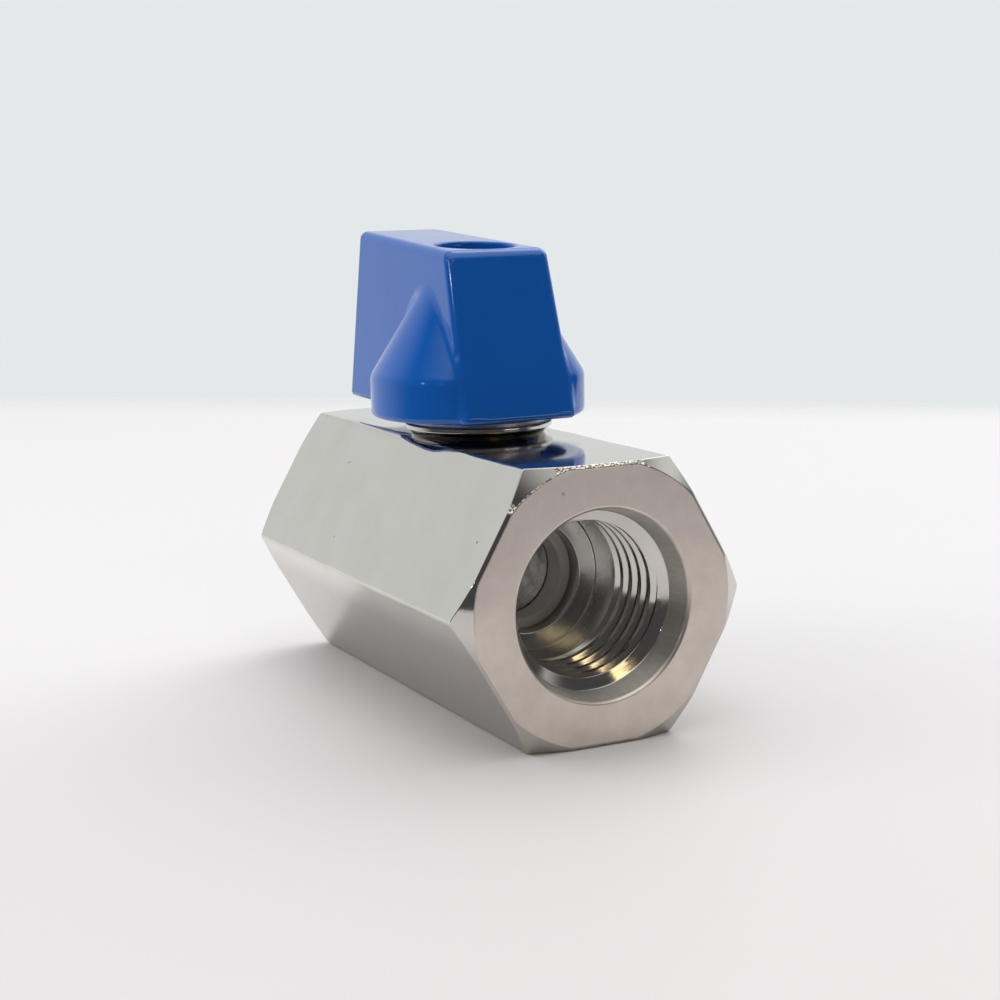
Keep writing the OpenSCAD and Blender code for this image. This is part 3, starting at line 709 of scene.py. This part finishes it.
def handleField(spots):
    h = handleSetup
    x, y, z = spots[:, 0], spots[:, 1], spots[:, 2]
    edge, cut = h["edge"], h["cutEdge"]
    fromStem = np.hypot(x, y)
    # blade: a quadrilateral seen from the side, with a width that eases from corner to corner. It runs on
    # past the front and the foot, where planes cut it off
    signs = {"frontFoot": (-1, 0), "frontTop": (-1, -1), "rearTop": (1, -1), "rearFoot": (1, 0)}
    inner = {}
    for k, (signX, signZ) in signs.items():
        inner[k] = np.array(h[k]) + edge * np.array([signX, -1, signZ])
    table = np.array([[1, c[0], c[2], c[0] * c[2]] for c in inner.values()])
    width = np.linalg.solve(table, np.array([c[1] for c in inner.values()]))
    ahead, down = np.array([h["past"], 0, 0]), np.array([0, 0, -h["past"]])
    topSlope = (inner["frontTop"] - inner["rearTop"]) / (inner["frontTop"][0] - inner["rearTop"][0])
    rearSlope = (inner["rearFoot"] - inner["rearTop"]) / (inner["rearTop"][2] - inner["rearFoot"][2])
    frontTop = inner["frontTop"] + topSlope * h["past"]
    rearFoot = inner["rearFoot"] + rearSlope * h["past"]
    outline = [inner["frontFoot"] + ahead + down, frontTop, inner["rearTop"], rearFoot]
    side = outlineDistance([(c[0], c[2]) for c in outline], x, z)
    flank = np.abs(y) - (width[0] + width[1] * x + width[2] * z + width[3] * x * z)
    blade = np.hypot(np.maximum(side, 0), np.maximum(flank, 0))
    blade = blade + np.minimum(np.maximum(side, flank), 0) - edge
    blade = roundBoth(blade, h["foot"] - z, h["footEdge"])
    # hub: skirt and cone, joined to the blade with a small fillet that dies out at the foot
    hub = outlineDistance(hubOutline(), fromStem, z)
    solid = roundJoin(blade, hub, h["fillet"] * smoothStep(z - h["foot"], *h["filletFade"]))
    # the leaning front face
    lean = math.atan2(h["frontFoot"][0] - h["frontTop"][0], h["frontTop"][2] - h["foot"])
    front = (x - h["frontFoot"][0]) * math.cos(lean) + (z - h["foot"]) * math.sin(lean)
    solid = roundBoth(solid, front, edge)
    # spaces under the hub, for the stem and the screw, and two cores under the tail
    rib = roundBoth(np.abs(y) - h["ribHalf"], x + h["ribTip"], h["ribEdge"])
    hole = roundBoth(fromStem - h["hole"][0], np.abs(y) - h["hole"][1], h["holeEdge"])
    recess = roundBoth(fromStem - h["recess"][0], h["recess"][1] - z, h["recessEdge"])
    (x0, x1), (y0, y1) = h["coreX"], h["coreY"]
    core = roundBoth(np.abs(x - (x0 + x1) / 2) - (x1 - x0) / 2,
                     np.abs(np.abs(y) - (y0 + y1) / 2) - (y1 - y0) / 2, h["coreEdge"])
    core = roundBoth(core, z - h["coreTop"], h["coreTopEdge"])
    spaces = [roundBoth(fromStem - h[k][0], z - h[k][1], h["spaceEdge"]) for k in ("cavity", "hollow")]
    spaces = [roundBoth(space, -rib, h["ribEdge"]) for space in spaces]
    for space in spaces + [hole, recess, core]:
        solid = roundBoth(solid, -space, cut)
    return solid


def slopeOf(field, spots, step=0.01):
    rises = [field(spots + shift) - field(spots - shift) for shift in step * np.eye(3)]
    return np.stack(rises, -1) / (2 * step)


# mesh of a field's surface: one point in each cell that the surface crosses, pulled onto it in a few steps.
# The normals come from the field's slope over a wider step, so that they stay smooth
def fieldSurface(field, low, high, cell, pulls=5, leastSlope=0.1, normalStep=0.05):
    low = np.asarray(low, float)
    size = np.ceil((np.asarray(high) - low) / cell).astype(int) + 1
    axes = [low[i] + cell * np.arange(size[i]) for i in range(3)]
    value = field(np.stack(np.meshgrid(*axes, indexing="ij"), -1).reshape(-1, 3)).reshape(size)
    inside = value < 0
    cells = size - 1
    offsets = [np.array(o) for o in np.ndindex(2, 2, 2)]
    cut = lambda grid, o: grid[tuple(slice(o[i], o[i] + cells[i]) for i in range(3))]
    filled = sum(cut(inside, o).astype(int) for o in offsets)
    mixed = (filled > 0) & (filled < len(offsets))
    number = np.full(cells, -1)
    number[mixed] = np.arange(mixed.sum())
    total, hits = np.zeros((mixed.sum(), 3)), np.zeros(mixed.sum())
    for axis in range(3):
        for o in offsets:
            if o[axis]:
                continue
            far = o.copy()
            far[axis] = 1
            a, b = cut(value, o)[mixed], cut(value, far)[mixed]
            crossed = (a < 0) != (b < 0)
            spot = np.tile(o.astype(float), (len(a), 1))
            spot[:, axis] += np.where(crossed, a / np.where(crossed, a - b, 1), 0)
            total[crossed] += spot[crossed]
            hits += crossed
    points = low + cell * (np.argwhere(mixed) + total / hits[:, None])
    faces = []
    for axis in range(3):
        u, v = (axis + 1) % 3, (axis + 2) % 3
        change = -np.diff(inside.astype(int), axis=axis)
        for sign in (1, -1):
            where = np.argwhere(change == sign)
            around = []
            for du, dv in ((-1, -1), (0, -1), (0, 0), (-1, 0)):
                place = where.copy()
                place[:, u] += du
                place[:, v] += dv
                around.append(number[tuple(place.T)])
            faces.append(np.stack(around[::sign], -1))
    for step in range(pulls):
        slope = slopeOf(field, points)
        points -= (field(points) / np.maximum((slope ** 2).sum(1), leastSlope))[:, None] * slope
    normals = slopeOf(field, points, normalStep)
    return points, np.concatenate(faces), normals / np.linalg.norm(normals, axis=1, keepdims=True)


def makeHandle():
    h = handleSetup
    points, faces, normals = fieldSurface(handleField, h["low"], h["high"], h["cell"])
    handle = meshPiece("wedgeHandle", points, faces, [blueNylon])
    handle.data.normals_split_custom_set_from_vertices(normals.tolist())
    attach(handle, "handle")
    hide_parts("handle")
    print("handle:", len(handle.data.polygons), "faces")


# screw and washers in the handle's recess

screwSetup = dict(head=(2.8, 32.5, 34.7), headRound=1.1, arcSteps=8, shank=(1.5, 24.5), tip=(0.7, 0.4),
                  middle=0.3, cross=(1.6, 0.45), crossFloor=33.4, crossTurn=20, crossTaper=0.62, columns=96)
washerSetup = dict(plain=(1.6, 3.0, 31.2, 31.7), spring=(1.6, 2.8, 31.72, 32.48), split=0.5, slant=0.35,
                   bends=90)


def makeScrew():
    s, w = screwSetup, washerSetup
    radius, low, high = s["head"]
    shank, end = s["shank"]
    r = s["headRound"]
    corners = [(end, s["tip"][0], 0.01, 0), (end + s["tip"][1], shank, 0.05, 0), (low, shank, 0.05, 0),
               (low, radius, 0.12, 0)]
    for a in np.linspace(0, math.pi / 2, s["arcSteps"])[:-1]:
        corners.append((high - r + r * math.sin(a), radius - r + r * math.cos(a), 0.05, 0))
    corners += [(high, radius - r, 0.05, 0), (high, s["middle"], 0.01, 0)]
    screw = turnCorners("panScrew", corners, s["columns"], [zincSteel], solid=True, steps=3)
    long, half = s["cross"]
    for quarter in (0, 90):     # arms of the cross narrow towards the floor
        turn = math.radians(quarter + s["crossTurn"])
        tool = boxTool((-long, -half, s["crossFloor"]), (long, half, high + 0.5), turn)
        for v in tool.data.vertices:
            if v.co.z < (s["crossFloor"] + 0.1) * mm:
                v.co.x, v.co.y = v.co.x * s["crossTaper"], v.co.y * s["crossTaper"]
        machine(screw, tool, "DIFFERENCE")
    crispEdges(screw)
    inner, outer, low, high = w["plain"]
    corners = [(low, inner, 0.06, 0), (low, outer, 0.12, 0), (high, outer, 0.15, 0), (high, inner, 0.06, 0)]
    plain = turnCorners("plainWasher", corners, s["columns"], [zincSteel])
    # split washer: a square wire bent round, with a slanted gap
    inner, outer, low, high = w["spring"]
    corners = [(up, out, 0.08, 0) for up, out in ((low, inner), (low, outer), (high, outer), (high, inner))]
    section = roundOutline(corners, 1, steps=3)[0][:, 0]
    up, out = section[None, :, 0], section[None, :, 1]
    gap = w["split"] / outer
    bend = np.linspace(gap / 2, 2 * math.pi - gap / 2, w["bends"])[:, None]
    turn = bend + w["slant"] * (up - low) / outer * np.cos(bend / 2)
    points = np.stack([out * np.cos(turn), out * np.sin(turn), np.broadcast_to(up, turn.shape)], -1)
    spring = meshPiece("splitWasher", points, gridFaces(*turn.shape, ring=False), [zincSteel])
    crispEdges(spring)
    for piece, node in ((screw, "handle_screw"), (plain, "plain_washer"), (spring, "spring_washer")):
        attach(piece, "handle")
        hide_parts(node)


makeBody()
makeInsert()
makeBall()
makeSeats()
makeHandle()
makeScrew()

# the hidden pieces keep their own shapes
for name, material in (("connector_gasket", whitePtfe), ("thrust_washer", whitePtfe), ("stem", faceSteel),
                       ("lower_stem_o_ring", blackRubber), ("upper_stem_o_ring", blackRubber)):
    nodes[name].data.materials.clear()
    nodes[name].data.materials.append(material)
print("pieces ready")


# stage, light and camera

view = dict(aim=(3.69, 0.0, 15.92), distance=152.05, azimuth=-26.54, elevation=9.69, roll=-1.02,
            lens=68.43, sensor=36, clip=(0.01, 10))


def makeCamera():
    azimuth, elevation, roll = (math.radians(view[k]) for k in ("azimuth", "elevation", "roll"))
    level = math.cos(elevation)
    back = Vector((level * math.cos(azimuth), level * math.sin(azimuth), math.sin(elevation)))
    right = Vector((-math.sin(azimuth), math.cos(azimuth), 0))
    up = back.cross(right)
    turnedRight = right * math.cos(roll) + up * math.sin(roll)
    turnedUp = back.cross(turnedRight)
    place = (Vector(view["aim"]) + back * view["distance"]) * mm
    data = bpy.data.cameras.new("camera")
    data.lens, data.sensor_width = view["lens"], view["sensor"]
    data.clip_start, data.clip_end = view["clip"]
    camera = bpy.data.objects.new("camera", data)
    bpy.context.scene.collection.objects.link(camera)
    turned = Matrix((turnedRight, turnedUp, back)).transposed().to_4x4()
    camera.matrix_world = Matrix.Translation(place) @ turned
    bpy.context.scene.camera = camera


# white table: satin laminate, pale, with a soft far edge where it gives way to the backdrop, and a painted
# shade that greys it towards the camera
tableSetup = dict(color="#f2f0f1", nearShadeColor="#e9e6e7", nearFrom=30, nearTo=-60, below=0.03,
                  edgeDistance=186, edgeSoft=16, edgeTurn=12,
                  farLeft=(250, -131), farRight=(150, 340), nearRight=(-54, 110), nearLeft=(-122, -60))


def makeTable():
    t = tableSetup
    azimuth, turn = math.radians(view["azimuth"]), math.radians(t["edgeTurn"])
    away = np.array([-math.cos(azimuth), -math.sin(azimuth), 0])     # from the camera past the valve
    right = np.array([-math.sin(azimuth), math.cos(azimuth), 0])
    edgeWay = away * math.cos(turn) + right * math.sin(turn)
    corners = [t[k] for k in ("farLeft", "farRight", "nearRight", "nearLeft")]
    points = [away * far + right * side - np.array([0, 0, t["below"]]) for far, side in corners]
    material, add, place = startMaterial("satin laminate white")
    depth = add("VectorMath", [place, tuple(edgeWay)], operation="DOT_PRODUCT")
    edge, soft = t["edgeDistance"], t["edgeSoft"]
    fade = add("MapRange", [depth, (edge - soft) * mm, (edge + soft) * mm], **eased)
    grain = add("TexNoise", {"Vector": place, "Scale": 1 / (0.8 * mm), "Detail": 3.0})
    grained = add("Bump", {"Height": grain, "Strength": 0.2, "Distance": 0.01 * mm})
    # painted shade: the laminate turns greyer from 30 mm past the valve's middle to 60 mm before it, towards
    # the camera
    ahead = add("VectorMath", [place, tuple(away)], operation="DOT_PRODUCT")
    near = add("MapRange", [ahead, t["nearFrom"] * mm, t["nearTo"] * mm], **eased)
    tint = add("Mix", {share: near, colorA: t["color"], colorB: t["nearShadeColor"]}, **rgba)
    satin = add("BsdfPrincipled", {"Base Color": tint, "Roughness": 0.55, "IOR": 1.45, "Normal": grained})
    clear = add("BsdfTransparent")
    mixed = add("MixShader", [fade, satin, clear])
    add("OutputMaterial", {"Surface": mixed})
    table = meshPiece("table", points, [[0, 1, 2, 3]], [material])
    if table.data.polygons[0].normal.z < 0:
        table.data.flip_normals()


# pale backdrop behind and beside the valve, brighter overhead, a dim warm room round the camera that only
# shows in the light and the reflections. right, left and gap are a direction and two cosines from it
roomSetup = dict(backdrop="#e5e8e9", overhead=1.3, overheadFrom=0.3, overheadTo=0.85,
                 room="#4c4a4d", ceilingFrom=0.66, ceilingTo=0.9,
                 right=((0.5, -0.866, 0), -0.69, -0.373), left=((0.94, 0.342, 0), -1.0, -0.5),
                 gap=((0.258, 0.962, 0.087), 0.94, 0.985))


def makeRoom():
    r = roomSetup
    world = bpy.data.worlds.new("studio")
    bpy.context.scene.world = world
    world.use_nodes = True
    world.node_tree.nodes.clear()
    add = partial(addNode, world.node_tree)
    way = add("TexCoord").outputs["Generated"]
    height = add("SeparateXYZ", [way]).outputs["Z"]
    top = add("MapRange", [height, r["overheadFrom"], r["overheadTo"]], **eased)
    bright = tuple([r["overhead"]] * 3) + (1,)
    upper = add("Mix", {share: top, colorA: r["backdrop"], colorB: bright}, **rgba)
    limits = []      # the room's right end, its softer left end, and a dark gap low on the right
    for direction, start, end in (r["right"], r["left"], r["gap"]):
        facing = add("VectorMath", [way, direction], operation="DOT_PRODUCT")
        limits.append(add("MapRange", [facing, start, end], **eased))
    ends = add("Math", limits[:2], operation="MULTIPLY")
    ahead = add("Math", [ends, limits[2]], operation="MAXIMUM")
    low = add("MapRange", [height, r["ceilingFrom"], r["ceilingTo"], 1.0, 0.0], **eased)
    dim = add("Math", [ahead, low], operation="MULTIPLY")
    around = add("Mix", {share: dim, colorA: upper, colorB: r["room"]}, **rgba)
    seen = add("LightPath").outputs["Is Camera Ray"]
    color = add("Mix", {share: seen, colorA: around, colorB: r["backdrop"]}, **rgba)
    back = add("Background", {"Color": color})
    add("OutputWorld", {"Surface": back})


# lamps as (where from the valve's middle, width, height, watts, colour)
valveMiddle = 15
lampSetup = {
    "rightSoftbox": ((-160, 300, 330), 300, 300, 0.45, "#ffffff"),
    "leftFill": ((-140, -300, 230), 260, 260, 0.4, "#ffffff"),
    "leftLamp": ((12, -330, 146), 9, 7, 0.045, "#ffffff"),
    "warmLamp": ((343, 18, 259), 125, 70, 0.06, "#ffe6ac"),
    "frontLamp": ((165, -335, 165), 10, 7, 0.03, "#ffffff"),
    "frontFill": ((282, 141, 16), 140, 40, 0.04, "#ffffff"),
}


def makeLamps():
    for name, (spot, wide, high, watts, color) in lampSetup.items():
        data = bpy.data.lights.new(name, "AREA")
        data.shape, data.size, data.size_y = "RECTANGLE", wide * mm, high * mm
        data.energy, data.color = watts, hexColor(color)[:3]
        lamp = bpy.data.objects.new(name, data)
        bpy.context.scene.collection.objects.link(lamp)
        lamp.location = Vector(spot) * mm + Vector((0, 0, valveMiddle * mm))
        lamp.rotation_euler = Vector(spot).to_track_quat("Z", "Y").to_euler()
        # the fill only lightens the shade, without a mirror image
        lamp.visible_glossy = name != "leftFill"


makeTable()
makeRoom()
makeLamps()
makeCamera()
bpy.context.scene.view_settings.view_transform = "Standard"
